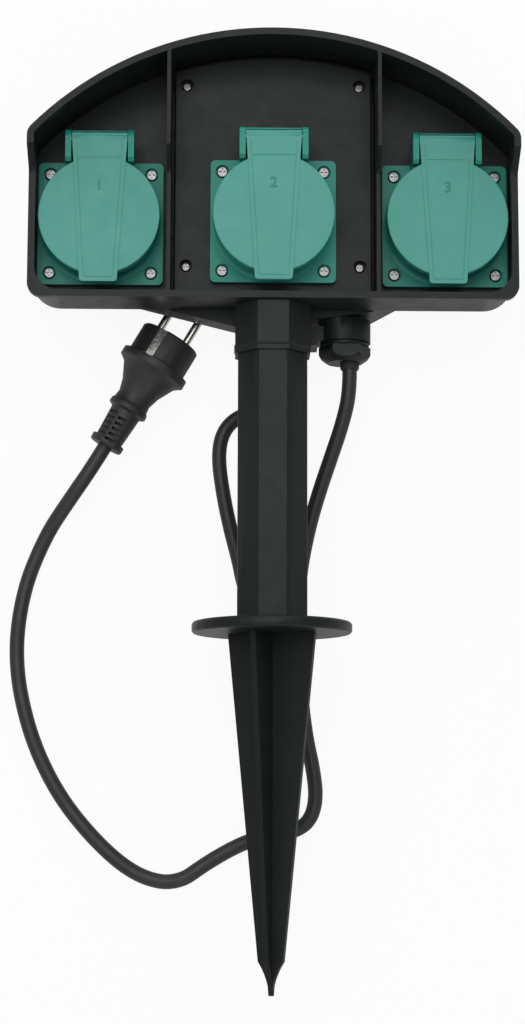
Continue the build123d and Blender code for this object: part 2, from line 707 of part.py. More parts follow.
def socket_insert():
    insert = rod_z(INSERT_R, INSERT_BACK, INSERT_TOP) + rod_z(SHOULDER_R, 0, SHOULDER_THICK)
    well_floor = INSERT_TOP - WELL_DEPTH
    slot_half = EARTH_THICK / 2 + SLOT_FIT
    slot_y = (-EARTH_HALF - SLOT_FIT, EARTH_HALF + SLOT_FIT)
    insert -= rod_z(WELL_R, well_floor, INSERT_TOP + OVER)
    for side in (-1, 1):
        y = side * PIN_SPACING / 2
        insert -= rod_z(PIN_HOLE_R, well_floor - WELL_SKIN - OVER, well_floor + OVER, 0, y)
        insert -= rod_z(CONTACT_R + SLOT_FIT, INSERT_BACK - OVER, well_floor - WELL_SKIN, 0, y)
        x = side * EARTH_X
        insert -= block((x - slot_half, x + slot_half), slot_y, (INSERT_BACK - OVER, well_floor + OVER))
    bar_half = EARTH_X + slot_half
    bar_z = (INSERT_BACK - OVER, INSERT_BACK + EARTH_THICK + 2 * SLOT_FIT)
    return insert - block((-bar_half, bar_half), slot_y, bar_z)


def contacts(bus):
    """Two sleeves for the plug's pins, each with a post that its wire passes through."""
    top = INSERT_TOP - WELL_DEPTH - WELL_SKIN - 5 * TOUCH
    low = top - CONTACT_LENGTH
    half_x, half_y = CONTACT_POST_HALF
    pair = []
    for side in (-1, 1):
        y = side * PIN_SPACING / 2
        sleeve = rod_z(CONTACT_R, low, top, 0, y)
        sleeve -= rod_z(CONTACT_BORE, low + CONTACT_FLOOR, top + OVER, 0, y)
        post = block((-half_x, half_x), (y - half_y, y + half_y), (bus - WIRE_SEAT, low + CONTACT_FLOOR / 2))
        pair.append(sleeve + post - rod_x(WIRE_R + RUN_FIT, -PIN_SPACING, PIN_SPACING, y, bus))
    return pair


def earth_clip(bus):
    """The clip's back bar, its two fingers up the sides of the well and its wire's post."""
    low = INSERT_BACK + TOUCH
    top = low + EARTH_THICK
    reach = EARTH_X + EARTH_THICK / 2
    half_x, half_y = EARTH_POST_HALF
    clip = block((-reach, reach), (-EARTH_HALF, EARTH_HALF), (low, top))
    for side in (-1, 1):
        finger = sorted((side * reach, side * (reach - EARTH_THICK)))
        clip += block(finger, (-EARTH_HALF, EARTH_HALF), (low, EARTH_TOP))
    clip += block((-half_x, half_x), (-half_y, half_y), (bus - WIRE_SEAT, top))
    return clip - rod_x(WIRE_R + RUN_FIT, -PIN_SPACING, PIN_SPACING, 0, bus)


def flange_seal():
    low = -FLANGE_THICK - GASKET
    seal = prism_z(flange_face(), low, -FLANGE_THICK)
    seal -= rod_z(PANEL_HOLE_R, low - OVER, 0)
    for x, y in flange_corners():
        seal -= rod_z(SOCKET_SCREW[0] + SCREW_FIT, low - OVER, 0, x, y)
    return seal


def tongue_face(inset, low_end, high_end):
    """The lid's tapered strip, set in by inset at its sides."""
    slope = (TONGUE_HALF_TOP - TONGUE_HALF_LOW) / (HINGE_Y - TAB_END)
    low_half = TONGUE_HALF_LOW + slope * (low_end - TAB_END) - inset
    high_half = TONGUE_HALF_LOW + slope * (high_end - TAB_END) - inset
    return flat([(-low_half, low_end), (low_half, low_end), (high_half, high_end), (-high_half, high_end)])


def lid_grooves():
    """The line round the tongue's face, and the one across it."""
    top = LID_TOP + TONGUE_RISE
    z = (top - GROOVE_DEEP, top + OVER)
    inset = GROOVE_EDGE
    inner = inset + GROOVE
    line = prism_z(tongue_face(inset, TAB_END + inset, GROOVE_TOP_Y), *z)
    line -= prism_z(tongue_face(inner, TAB_END + inner, GROOVE_TOP_Y + OVER), z[0] - OVER, z[1] + OVER)
    across = tongue_face(inset, CROSS_GROOVE_Y - GROOVE, CROSS_GROOVE_Y + GROOVE)
    return line + prism_z(across, *z)


def barrel_groove():
    """The dark line between the tongue's end and the barrel."""
    low = HINGE_Y + TONGUE_PAST
    z = (LID_TOP - BARREL_GROOVE_DEEP, LID_TOP + OVER)
    return block((-FLANGE / 2, FLANGE / 2), (low, low + BARREL_GROOVE), z)


def lid():
    plate_z = LID_TOP - LID_THICK
    skirt_top = plate_z + LID_THICK / 4
    disc = rod_z(LID_R, plate_z, LID_TOP)
    disc += ring_z(LID_R, LID_R - SKIRT_WALL, LID_TOP - LID_SKIRT, skirt_top)
    disc = fillet(disc.edges().group_by(Axis.Z)[-1], LID_ROUND)
    strip = tongue_face(0, TAB_END, HINGE_Y + TONGUE_PAST)
    strip = fillet(strip.vertices().sort_by(Axis.Y)[:2], TAB_ROUND)
    body = disc + prism_z(strip, plate_z, LID_TOP + TONGUE_RISE)
    tab = tongue_face(TAB_INSET, TAB_END + OVER, SKIRT_WALL - LID_R)
    body += prism_z(tab, LID_TOP - TAB_DEPTH, skirt_top)
    body += rod_x(BARREL_R, -TONGUE_HALF_TOP, TONGUE_HALF_TOP, HINGE_Y, HINGE_Z)
    body -= lid_grooves()
    body -= barrel_groove()
    body -= rod_x(HINGE_PIN_R + RUN_FIT, -FLANGE / 2, FLANGE / 2, HINGE_Y, HINGE_Z)
    pocket = SPRING_HALF + SPRING_ROOM
    body -= rod_x(SPRING_R + SPRING_ROOM, -pocket, pocket, HINGE_Y, HINGE_Z)
    slot = extrude(Plane.YZ * flat(SPRING_SLOT), amount=pocket, both=True)
    return body - Pos(0, HINGE_Y, HINGE_Z) * slot


def lid_seal():
    outer = LID_R - SKIRT_WALL - EAR_GAP
    inner = COLLAR_R - COLLAR_WALL - EAR_GAP
    return ring_z(outer, inner, COLLAR_TOP + CLEAR, LID_TOP - LID_THICK)


def hinge_pin():
    half = TONGUE_HALF_TOP + EAR_GAP + EAR_THICK
    return rod_x(HINGE_PIN_R, -half, half, HINGE_Y, HINGE_Z)


def hinge_spring():
    coil = rod_x(SPRING_R, -SPRING_HALF, SPRING_HALF, HINGE_Y, HINGE_Z)
    leg_x = (SPRING_HALF - SPRING_WIRE, SPRING_HALF)
    leg_y = (HINGE_Y - SPRING_WIRE / 2, HINGE_Y + SPRING_WIRE / 2)
    leg = block(leg_x, leg_y, (BAR_TOP, HINGE_Z - SPRING_R + SPRING_WIRE / 2))
    return coil + leg - rod_x(SPRING_R - SPRING_WIRE, -2 * SPRING_HALF, 2 * SPRING_HALF, HINGE_Y, HINGE_Z)


def make_sockets():
    socket_screw = screw(SOCKET_SCREW, SCREW_LENGTH)
    screw_places = [Pos(x, y, -RECESS_DEEP) for x, y in flange_corners()]
    for side, (x, panel_z) in socket_places().items():
        face_z = panel_z + GASKET + FLANGE_THICK
        place = Pos(x, 0, face_z)
        bus = WIRE_Z - face_z
        save(f"{side}_socket_base", place * socket_base())
        save(f"{side}_socket_insert", place * socket_insert())
        save(f"{side}_contact_sleeves", *[place * c for c in contacts(bus)])
        save(f"{side}_earth_clip", place * earth_clip(bus))
        save(f"{side}_flange_seal", place * flange_seal())
        save(f"{side}_socket_screws", *[place * at * socket_screw for at in screw_places])
        save(f"{side}_lid", place * lid())
        save(f"{side}_lid_seal", place * lid_seal())
        save(f"{side}_hinge_pin", place * hinge_pin())
        save(f"{side}_hinge_spring", place * hinge_spring())


# Post, ground collar and spike

def post_tube():
    outer = prism_y(polygon_flats(POST_FLATS, 8), COLLAR_TOP_Y, SLEEVE_STOP - POST_END_GAP)
    inner = prism_y(polygon_flats(POST_FLATS - 2 * POST_WALL, 8), COLLAR_TOP_Y - OVER, SLEEVE_STOP + OVER)
    tube = Pos(0, 0, POST_Z) * (outer - inner)
    return tube - rod_z(SOCKET_SCREW[0] + SCREW_FIT, 0, POST_Z, 0, POST_SCREW_Y)


def stub_half():
    return POST_FLATS / 2 - POST_WALL - POST_FIT


def ground_collar():
    edge = DISC_R - DISC_CHAMFER
    rim = [(0, DISC_LOW_Y), (edge, DISC_LOW_Y), (DISC_R, DISC_LOW_Y + DISC_CHAMFER)]
    rim += [(DISC_R, COLLAR_TOP_Y - DISC_CHAMFER), (edge, COLLAR_TOP_Y), (0, COLLAR_TOP_Y)]
    disc = turned_y(rim)
    across = FIN_THICK / 2 + TOUCH
    along = stub_half() + TOUCH
    slot = block((-across, across), (DISC_LOW_Y - OVER, COLLAR_TOP_Y + OVER), (-along, along))
    for turn in (FIN_TURN, FIN_TURN + 90):
        disc -= Rot(0, -turn, 0) * slot
    return Pos(0, 0, POST_Z) * disc


def ground_spike():
    """Four fins round the axis, with a stub that passes through the collar into the post."""
    fin_side = Polyline((0, DISC_LOW_Y), (SPIKE_R, DISC_LOW_Y), (SPIKE_LOW_R, SPIKE_LOW_Y))
    point = ThreePointArc((SPIKE_LOW_R, SPIKE_LOW_Y), SPIKE_WAIST, (TIP_R, TIP_Y))
    back = Polyline((TIP_R, TIP_Y), (0, TIP_Y), (0, DISC_LOW_Y))
    fin = extrude(make_face(fin_side + point + back), amount=FIN_THICK / 2, both=True)
    pair = fin + mirror(fin, about=Plane.YZ)
    half = stub_half()
    stub_y = (DISC_LOW_Y - OVER, COLLAR_TOP_Y + STUB_LENGTH)
    pair += block((-half, half), stub_y, (-FIN_THICK / 2, FIN_THICK / 2))
    cross = Rot(0, 90 - FIN_TURN, 0) * pair + Rot(0, -FIN_TURN, 0) * pair
    return Pos(0, 0, POST_Z) * cross


# Gland, lead and wiring

def gland_body():
    top = CLAMP_Y[0] - GLAND_REACH
    face = BOSS_END - TOUCH
    low = face - GLAND_FLANGE_THICK
    end = BOSS_END - GLAND_THREAD
    points = [(GLAND_BORE, top), (GLAND_R, top), (GLAND_R, face), (GLAND_FLANGE_R, face)]
    points += [(GLAND_FLANGE_R, low), (GLAND_R, low), (GLAND_R, end), (GLAND_BORE, end)]
    return Pos(GLAND_X, 0, GLAND_Z) * turned_y(points)


def gland_seal():
    """The soft ring inside the gland and the short boot round the lead, which leaves off the middle."""
    end = BOSS_END - GLAND_THREAD
    in_r, in_y = BOOT_CHAMFER
    seal = rod_y(GLAND_BORE - SLOT_FIT, end, SEAL_START, GLAND_X, GLAND_Z)
    boot = [(0, end), (BOOT_R, end), (BOOT_R, BOOT_END + in_y), (BOOT_R - in_r, BOOT_END), (0, BOOT_END)]
    seal += Pos(LEAD_X, 0, GLAND_Z) * turned_y(boot)
    return seal - rod_y(CORD_R + SCREW_FIT, BOOT_END - OVER, SEAL_START + OVER, LEAD_X, GLAND_Z)


def gland_nut():
    top = BOSS_END - GLAND_FLANGE_THICK - 4 * TOUCH
    hexagon = prism_y(polygon_flats(GLAND_FLATS, 6), NUT_END, top)
    corner_r = GLAND_FLATS / 2 / cos(pi / 6)
    chamfer = [(corner_r - in_r, NUT_END + up) for in_r, up in NUT_CHAMFER]
    nut = hexagon & turned_y([(0, BOSS_END), (corner_r, BOSS_END), *chamfer, (0, NUT_END)])
    thread_end = BOSS_END - GLAND_THREAD - CLEAR
    nut -= rod_y(GLAND_R + CLEAR, thread_end, BOSS_END, 0, 0)
    nut -= rod_y(BOOT_R + CLEAR, NUT_END - OVER, BOSS_END, LEAD_ASIDE, 0)
    return Pos(GLAND_X, 0, GLAND_Z) * nut


def cord_clamp():
    bar = block((LEAD_X - CLAMP_HALF, LEAD_X + CLAMP_HALF), CLAMP_Y, (GLAND_Z + CLEAR, CLAMP_TOP))
    bar -= rod_y(CORD_R + SCREW_FIT, CLAMP_Y[0] - OVER, CLAMP_Y[1] + OVER, LEAD_X, GLAND_Z)
    for x in clamp_screw_x():
        bar -= rod_z(CLAMP_SCREW[0] + SCREW_FIT, GLAND_Z, CLAMP_TOP + OVER, x, clamp_y())
    return bar


def wires():
    """Each wire runs through its three posts, in two lengths from the terminal block, beside its core."""
    rows = {"wire_live": (PIN_SPACING / 2, -1), "wire_earth": (0.0, 0), "wire_neutral": (-PIN_SPACING / 2, 1)}
    reach = PITCH + WIRE_PAST
    for name, (y, place) in rows.items():
        left = rod_x(WIRE_R, -reach, LEAD_X - BLOCK_HALF, y, WIRE_Z)
        right = rod_x(WIRE_R, LEAD_X + BLOCK_HALF, reach, y, WIRE_Z)
        x = LEAD_X + place * (2 * WIRE_R + SLOT_FIT)
        line = FilletPolyline((x, TAIL_END, GLAND_Z), (x, y, GLAND_Z), (x, y, BLOCK_Z[1]), radius=CORE_BEND)
        core = sweep(Plane((x, TAIL_END, GLAND_Z), z_dir=(0, 1, 0)) * Circle(WIRE_R), path=line)
        save(name, left, right, core)


def cord_radii():
    """Each corner's radius, from the shorter of its two runs and its turn."""
    points = [Vector(*p) for p in CORD_ROUTE]
    radii = []
    for before, here, after in zip(points, points[1:], points[2:]):
        turn = (here - before).get_angle(after - here)
        shorter = min((here - before).length, (after - here).length)
        radii.append(CORD_SHORTER_RUN_SHARE * shorter / tan(radians(turn) / 2))
    return radii


def supply_cord():
    radii = cord_radii()
    line = FilletPolyline(*CORD_ROUTE, radius=radii)
    start = Plane(CORD_ROUTE[0], z_dir=line % 0)
    tube = sweep(start * Circle(CORD_R), path=line)
    print("cord radii", [round(r) for r in radii])
    share = tube.volume / (pi * CORD_R**2 * line.length)
    print("cord length", round(line.length, 1), "volume share", round(share, 5))
    return tube


# Plug

def plug_place():
    """From the plug's own frame, with its face at the origin and its pins along +Y."""
    heading = -degrees(atan2(PLUG_AXIS[0], PLUG_AXIS[1]))
    return Pos(PLUG_FACE[0], PLUG_FACE[1], PLUG_Z) * Rot(0, 0, heading) * Rot(0, PLUG_TURN, 0)


def plug_body():
    side = [(0, 0), (PLUG_FACE_R - OVER, 0)]
    side += [(r, -back) for r, back in PLUG_FRONT + PLUG_WAIST]
    ring = PLUG_END_RING - PLUG_REACH
    side += [(PLUG_RELIEF_R, -PLUG_WAIST[-1][1] - OVER), (PLUG_RELIEF_LOW_R, ring)]
    side += [(PLUG_END_R, ring), (PLUG_END_R, BOOT_CHAMFER[1] - PLUG_REACH)]
    side += [(PLUG_END_R - BOOT_CHAMFER[0], -PLUG_REACH), (0, -PLUG_REACH)]
    body = turned_y(side)
    half = PLUG_CLIP_HALF + CLEAR
    low = PLUG_FACE_R - PLUG_CLIP_DEEP
    groove = block((-half, half), (-PLUG_CLIP_END - CLEAR, OVER), (low, PLUG_GRIP_R + OVER))
    for turn in (0, 180):
        body -= Rot(0, turn, 0) * groove
    for slot in relief_slots():
        body -= slot
    for x in plug_pin_x():
        body -= rod_y(PLUG_PIN_R + PRESS_FIT, -PLUG_PIN_DEEP, OVER, x, 0)
    return body


def relief_slots():
    """Two staggered rows of slots on the strain relief's top and bottom, which let it flex."""
    slots = []
    for i in range(PLUG_SLOTS):
        for side in (-1, 1):
            x = sorted((side * PLUG_SLOT_X[0], side * PLUG_SLOT_X[1]))
            y = -PLUG_SLOT_START - (i + (side + 1) / 4) * PLUG_SLOT_PITCH
            cut = block(x, (y - PLUG_SLOT_WIDTH, y), (PLUG_SLOT_FLOOR, PLUG_END_R))
            slots += [cut, Rot(0, 180, 0) * cut]
    return slots


def plug_pin_x():
    return (-PIN_SPACING / 2, PIN_SPACING / 2)


def plug_pin(x):
    pin = rod_y(PLUG_PIN_R, -PLUG_PIN_DEEP, PLUG_PIN_LENGTH, x, 0)
    return fillet(pin.edges().sort_by(Axis.Y)[-1], PLUG_PIN_ROUND)


def plug_clips():
    base = PLUG_FACE_R - PLUG_CLIP_DEEP
    y = (-PLUG_CLIP_END, -EAR_GAP)
    clip = block((-PLUG_CLIP_HALF, PLUG_CLIP_HALF), y, (base, base + PLUG_CLIP_THICK))
    return [clip, Rot(0, 180, 0) * clip]


def along_z(sizes, length, places):
    """One screw at each place, with its head on top."""
    one = screw(sizes, length)
    return [Pos(*place) * one for place in places]


def from_behind(sizes, length, places):
    """One screw at each place, with its head underneath."""
    one = Rot(180, 0, 0) * screw(sizes, length)
    return [Pos(*place) * one for place in places]


def make_head():
    panel_places = [(x, y, PANEL_Z + CUP_SEAT) for x, y in centre_screws()]
    case_places = [(x, y, CASE_SCREW_SEAT) for x, y in case_posts()]
    save("front_frame", front_frame())
    save("centre_panel", centre_panel())
    save("panel_screws", *along_z(CENTRE_SCREW, SCREW_LENGTH, panel_places))
    save("rear_case", rear_case())
    save("case_seal", case_seal())
    save("case_screws", *from_behind(CASE_SCREW, CASE_SCREW_LENGTH, case_places))


def make_post():
    screw_place = (0, POST_SCREW_Y, POST_Z - SLEEVE_FLATS / 2)
    save("post_tube", post_tube())
    save("post_screw", *from_behind(SOCKET_SCREW, POST_SCREW_LENGTH, [screw_place]))
    save("ground_collar", ground_collar())
    save("ground_spike", ground_spike())


def make_wiring():
    clamp_places = [(x, clamp_y(), CLAMP_TOP) for x in clamp_screw_x()]
    block_x = (LEAD_X - BLOCK_HALF, LEAD_X + BLOCK_HALF)
    save("gland_body", gland_body())
    save("gland_seal", gland_seal())
    save("gland_nut", gland_nut())
    save("cord_clamp", cord_clamp())
    save("clamp_screws", *along_z(CLAMP_SCREW, CLAMP_SCREW_LENGTH, clamp_places))
    save("terminal_block", block(block_x, (-BLOCK_HALF_Y, BLOCK_HALF_Y), BLOCK_Z))
    wires()
    save("lead_tail", rod_y(CORD_R, BOOT_END, TAIL_END, LEAD_X, GLAND_Z))
    save("supply_cord", supply_cord())


def make_plug():
    place = plug_place()
    save("plug_body", place * plug_body())
    save("plug_pins", *[place * plug_pin(x) for x in plug_pin_x()])
    save("plug_earth_clips", *[place * c for c in plug_clips()])


def main():
    os.makedirs("parts", exist_ok=True)
    make_head()
    make_sockets()
    make_post()
    make_wiring()
    make_plug()
    print("middle", round(MIDDLE_Y, 3), "nodes", len(NODES))


main()
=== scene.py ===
import json
from math import radians

import bpy
from mathutils import Matrix, Vector


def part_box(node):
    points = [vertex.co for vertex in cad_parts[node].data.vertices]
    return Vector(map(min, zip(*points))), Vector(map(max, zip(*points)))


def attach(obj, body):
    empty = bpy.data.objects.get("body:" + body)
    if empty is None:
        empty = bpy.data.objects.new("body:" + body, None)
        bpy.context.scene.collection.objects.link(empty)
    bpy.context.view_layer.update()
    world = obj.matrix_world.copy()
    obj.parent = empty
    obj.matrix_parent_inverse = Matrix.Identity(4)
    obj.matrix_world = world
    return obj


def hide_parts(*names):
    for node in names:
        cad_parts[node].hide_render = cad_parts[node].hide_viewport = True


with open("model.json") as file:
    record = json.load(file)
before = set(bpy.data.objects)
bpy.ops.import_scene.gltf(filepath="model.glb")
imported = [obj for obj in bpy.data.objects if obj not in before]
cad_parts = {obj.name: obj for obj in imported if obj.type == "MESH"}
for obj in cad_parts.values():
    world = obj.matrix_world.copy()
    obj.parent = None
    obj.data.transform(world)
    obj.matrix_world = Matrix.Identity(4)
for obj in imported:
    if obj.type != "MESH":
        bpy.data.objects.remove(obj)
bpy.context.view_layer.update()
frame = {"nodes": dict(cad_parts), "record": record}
NODES = frame["nodes"]

# The garden socket spike as photographed: it lies on its back on a pale floor, seen from above.
# Metres. Everything is drawn from the middle socket's axis, whose place in the frame is MIDDLE_Y.
MIDDLE_Y = 0.17025
SIDES = ("left", "middle", "right")
LIDS = [f"{side}_lid" for side in SIDES]

# Camera, with its turns in degrees, its sensor in millimetres and its lens in pixels of the photo's height
CAMERA_AT = (-0.0276, -0.3606, 1.3379)
CAMERA_TURN = (8.37, -0.97, 0.3)
SENSOR = 24.0
FOCAL_PIXELS = 2227.0
PHOTO_HEIGHT = 1024.0
NEAREST_SEEN = 0.05

# Floor: how much of its look is its own plain white where the camera sees it, and what part of that shows
# where it is mirrored
FLOOR_GLOW = 0.93
MIRROR_SHARE = 0.3
FLOOR_REACH = 30.0
FLOOR_PATCH = 0.4

# The world's light, and how bright it is where the camera sees it
WORLD_LIGHT = 0.36
WORLD_SEEN = 0.95

# Lamps: where each hangs, what it aims at, its width and height, and its watts
LAMPS = {
    "key": ((-0.3, 0.1, 1.9), (0, -0.1, 0.05), (1.4, 1.4), 13.5),
    "gloss": ((0.15, 0.85, 1.7), (0.02, 0.1, 0.06), (0.7, 0.35), 2.6),
    "fill": ((0.3, -1.5, 1.1), (0, 0.1, 0.08), (1.4, 0.8), 3.5),
    "edge": ((0.1, 1.5, 0.6), (0, 0.1, 0.08), (1.4, 0.4), 7.0),
}

# Rounded edges on the mouldings
SOFT_EDGES = {
    "front_frame": 0.0008,
    "rear_case": 0.0005,
    "centre_panel": 0.0003,
    "ground_collar": 0.0005,
    "ground_spike": 0.0005,
    "post_tube": 0.0006,
    "gland_body": 0.0003,
    "gland_nut": 0.0004,
    "plug_body": 0.0003,
}
SOFT_SOCKET_EDGES = {"socket_base": 0.0003, "lid": 0.0003, "socket_insert": 0.0002}
SOFT_FROM_ANGLE = 35.0
WELD_GAP = 0.000005

# Numerals on the lids, from each socket's axis
NUMERAL_SIZE = 0.009
NUMERAL_RISE = 0.0003
NUMERAL_BEVEL = NUMERAL_RISE / 4
NUMERAL_Y = 0.0175

# How far the hinge's barrel stands over the tongue's face
BARREL_OVER_TONGUE = 0.0002

# How large the patches of drift, marks and polish are on the surfaces
DRIFT_SIZE = 0.06
MARK_SIZE = 0.012
METAL_PATCH = 0.003
POLISH_SIZE = 0.0015

# The earth wire's stripe: the heights between which green turns to yellow, and how ragged its edge is
STRIPE_FROM = 0.0181
STRIPE_TO = 0.0183
STRIPE_RAGGED = 0.0001
STRIPE_EDGE_SIZE = 0.002

# Lead
CORD_DIAMETER = 0.0088
CORD_ROUTE = [
    (0.0468, -0.082, 0.030),
    (0.0468, -0.096, 0.030),
    (0.0426, -0.114, 0.026),
    (0.0358, -0.134, 0.0205),
    (0.029, -0.154, 0.0165),
    (0.0235, -0.173, 0.015),
    (0.019, -0.194, 0.0148),
    (0.0168, -0.2118, 0.0148),
    (0.0106, -0.2204, 0.0148),
    (0.0005, -0.2236, 0.0148),
    (-0.0096, -0.2204, 0.0146),
    (-0.0158, -0.2118, 0.013),
    (-0.019, -0.195, 0.009),
    (-0.024, -0.176, 0.0052),
    (-0.0285, -0.155, 0.0046),
    (-0.0318, -0.132, 0.0046),
    (-0.0298, -0.117, 0.0046),
    (-0.0225, -0.1075, 0.0046),
    (-0.0105, -0.1025, 0.0046),
    (0.0035, -0.104, 0.0046),
    (0.012, -0.113, 0.0046),
    (0.0138, -0.130, 0.0046),
    (0.0126, -0.148, 0.0046),
    (0.0095, -0.170, 0.0046),
    (0.0105, -0.195, 0.0046),
    (0.0155, -0.220, 0.0046),
    (0.0162, -0.247, 0.0046),
    (0.0185, -0.275, 0.0046),
    (0.0215, -0.300, 0.0046),
    (0.0258, -0.319, 0.0046),
    (0.0278, -0.337, 0.0046),
    (0.0235, -0.3505, 0.0046),
    (0.0125, -0.3565, 0.0046),
    (-0.002, -0.3585, 0.0046),
    (-0.0155, -0.3625, 0.0046),
    (-0.029, -0.3695, 0.0046),
    (-0.041, -0.377, 0.0046),
    (-0.0515, -0.3845, 0.0046),
    (-0.0655, -0.386, 0.0046),
    (-0.084, -0.3785, 0.0046),
    (-0.106, -0.359, 0.0046),
    (-0.1275, -0.332, 0.0046),
    (-0.144, -0.297, 0.0046),
    (-0.153, -0.255, 0.0046),
    (-0.149, -0.214, 0.0046),
    (-0.1355, -0.180, 0.007),
    (-0.121, -0.160, 0.017),
    (-0.10713, -0.14051, 0.0218),
    (-0.0995, -0.1276, 0.0218),
]


def at(x, y, z):
    """A point of the drawing, in metres from the middle socket's axis, in the frame."""
    return Vector((x, y + MIDDLE_Y, z))


def add_to_scene(name, data):
    thing = bpy.data.objects.new(name, data)
    bpy.context.scene.collection.objects.link(thing)
    return thing


# Camera and cord

def make_camera():
    camera = add_to_scene("camera", bpy.data.cameras.new("camera"))
    camera.data.sensor_fit = "VERTICAL"
    camera.data.sensor_height = SENSOR
    camera.data.lens = FOCAL_PIXELS / PHOTO_HEIGHT * SENSOR
    camera.data.clip_start = NEAREST_SEEN
    turns = [Matrix.Rotation(radians(turn), 4, axis) for turn, axis in zip(CAMERA_TURN, "XYZ")]
    camera.matrix_world = Matrix.Translation(at(*CAMERA_AT)) @ turns[0] @ turns[1] @ turns[2]
    bpy.context.scene.camera = camera


def make_cord(material):
    curve = bpy.data.curves.new("supply_lead", "CURVE")
    curve.dimensions = "3D"
    spline = curve.splines.new("NURBS")
    spline.points.add(len(CORD_ROUTE) - 1)
    for point, place in zip(spline.points, CORD_ROUTE):
        point.co = (*at(*place), 1.0)
    spline.order_u = 3
    spline.use_endpoint_u = True
    spline.resolution_u = 10
    curve.bevel_depth = CORD_DIAMETER / 2
    curve.bevel_resolution = 8
    curve.use_fill_caps = True
    lead = add_to_scene("supply_lead", curve)
    curve.materials.append(material)
    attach(lead, "root")
    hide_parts("supply_cord")


# Materials

class Shader:
    """A node material, built from the output back."""

    def __init__(self, name):
        self.material = bpy.data.materials.new(name)
        self.material.use_nodes = True
        self.tree = self.material.node_tree
        self.surface = self.tree.nodes["Principled BSDF"]
        self.place = self.add("ShaderNodeTexCoord").outputs["Object"]

    def add(self, kind, **values):
        node = self.tree.nodes.new(kind)
        for key, value in values.items():
            setattr(node, key, value)
        return node

    def link(self, out, into):
        self.tree.links.new(out, into)

    def noise(self, size, detail=3.0, rough=0.55):
        """Noise whose grains are about size across, in metres."""
        node = self.add("ShaderNodeTexNoise")
        node.inputs["Scale"].default_value = 1.0 / size
        node.inputs["Detail"].default_value = detail
        node.inputs["Roughness"].default_value = rough
        self.link(self.place, node.inputs["Vector"])
        return node.outputs["Fac"]

    def spread(self, value, low, high, start=0.3, end=0.7):
        """The value's run from start to end, turned into one from low to high."""
        node = self.add("ShaderNodeMapRange")
        node.inputs["From Min"].default_value = start
        node.inputs["From Max"].default_value = end
        node.inputs["To Min"].default_value = low
        node.inputs["To Max"].default_value = high
        self.link(value, node.inputs["Value"])
        return node.outputs["Result"]

    def mix(self, amount, first, second):
        node = self.add("ShaderNodeMix", data_type="RGBA")
        self.link(amount, node.inputs["Factor"])
        for key, value in (("A", first), ("B", second)):
            socket = [s for s in node.inputs if s.name == key and s.type == "RGBA"][0]
            socket.default_value = (*value, 1.0)
        return [s for s in node.outputs if s.type == "RGBA"][0]

    def sum(self, first, second):
        node = self.add("ShaderNodeMath", operation="ADD")
        self.link(first, node.inputs[0])
        self.link(second, node.inputs[1])
        return node.outputs["Value"]

    def colour(self, value):
        self.link(value, self.surface.inputs["Base Color"])

    def roughness(self, value):
        self.link(value, self.surface.inputs["Roughness"])

    def bump(self, height, depth):
        """Height runs from 0 to 1, and depth is what that is in metres."""
        node = self.add("ShaderNodeBump")
        node.inputs["Distance"].default_value = depth
        node.inputs["Strength"].default_value = 1.0
        self.link(height, node.inputs["Height"])
        self.link(node.outputs["Normal"], self.surface.inputs["Normal"])


def moulded(name, dark, light, rough, grain=0.0005, depth=0.00003, specular=0.5):
    """Moulded plastic: a fine even grain, a slow drift of colour and faint handling marks."""
    shader = Shader(name)
    drift = shader.spread(shader.noise(DRIFT_SIZE, 4.0), 0.0, 1.0)
    shader.colour(shader.mix(drift, dark, light))
    marks = shader.noise(MARK_SIZE, 6.0, 0.7)
    shader.roughness(shader.spread(marks, *rough))
    fine = shader.noise(grain, 2.0)
    shader.bump(fine, depth)
    shader.surface.inputs["Specular IOR Level"].default_value = specular
    return shader.material


def metal(name, first, second, rough, grain=0.0008, depth=0.000008):
    """Plated or bare metal, with patches of two tones and an uneven polish."""
    shader = Shader(name)
    shader.surface.inputs["Metallic"].default_value = 1.0
    patches = shader.spread(shader.noise(METAL_PATCH, 4.0, 0.65), 0.0, 1.0)
    shader.colour(shader.mix(patches, first, second))
    shader.roughness(shader.spread(shader.noise(POLISH_SIZE, 3.0), *rough))
    shader.bump(shader.noise(grain, 3.0), depth)
    return shader.material


def striped_wire():
    """Green wire insulation with one yellow stripe along it."""
    shader = Shader("wire_green_yellow")
    split = shader.add("ShaderNodeSeparateXYZ")
    shader.link(shader.place, split.inputs["Vector"])
    edge = shader.noise(STRIPE_EDGE_SIZE, 2.0)
    height = shader.sum(split.outputs["Z"], shader.spread(edge, -STRIPE_RAGGED, STRIPE_RAGGED))
    stripe = shader.spread(height, 0.0, 1.0, STRIPE_FROM, STRIPE_TO)
    shader.colour(shader.mix(stripe, (0.03, 0.26, 0.06), (0.75, 0.62, 0.04)))
    shader.surface.inputs["Roughness"].default_value = 0.45
    shader.bump(edge, 0.00001)
    return shader.material


